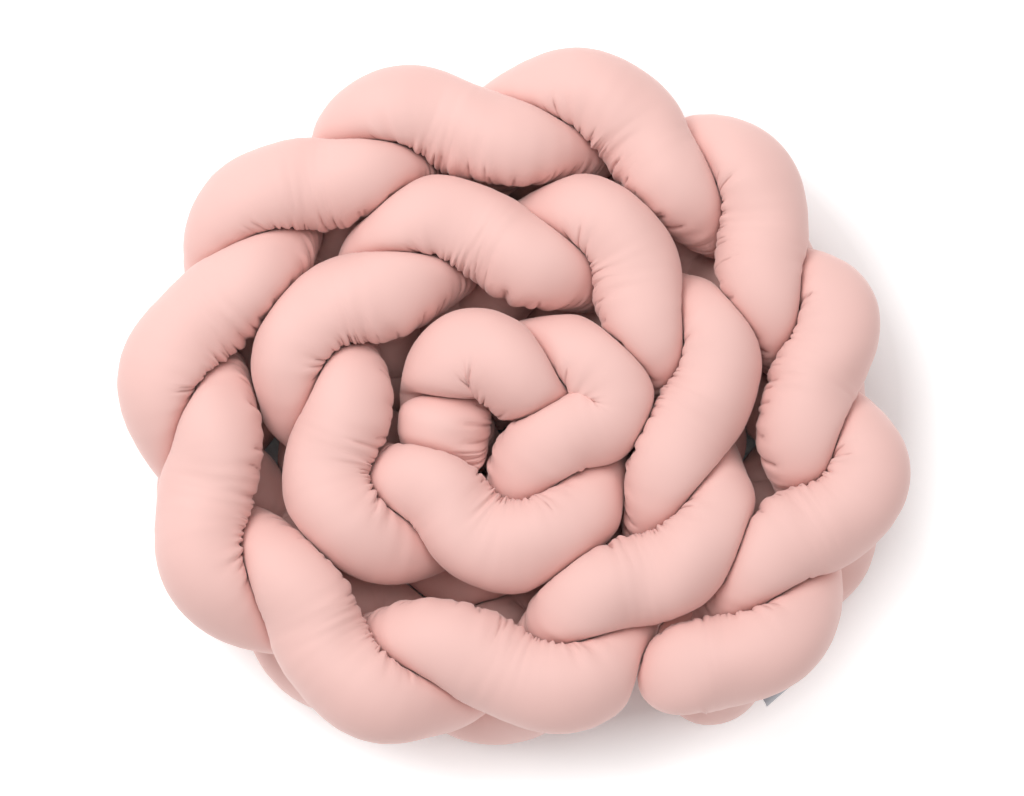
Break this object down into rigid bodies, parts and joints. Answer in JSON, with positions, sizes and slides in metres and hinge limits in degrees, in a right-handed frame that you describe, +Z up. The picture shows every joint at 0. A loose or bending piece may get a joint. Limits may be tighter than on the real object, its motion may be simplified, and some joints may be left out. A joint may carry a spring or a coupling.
{
  "type": "braided cot bumper",
  "caption": "Soft cot bumper plaited from stuffed fabric tubes, stood on its edge and wound up into an oval coil, with a bare side tag at its outer end.",
  "frame": {"origin": "middle of the coil's outline, on the surface it rests on", "axes": "+Z up across the standing braid, +X along the oval coil's longer side, the braid's outer end at +X -Y"},
  "size_m": [0.524, 0.4648, 0.1616],
  "materials": {
    "tube_fabric": "smooth pale pink cotton with a soft satin sheen",
    "tag_satin": "silver-grey satin ribbon, bare"
  },
  "bodies": {
    "root": {"strand_a": "tube_fabric", "strand_b": "tube_fabric", "strand_c": "tube_fabric", "side_tag": "tag_satin"}
  },
  "joints": []
}
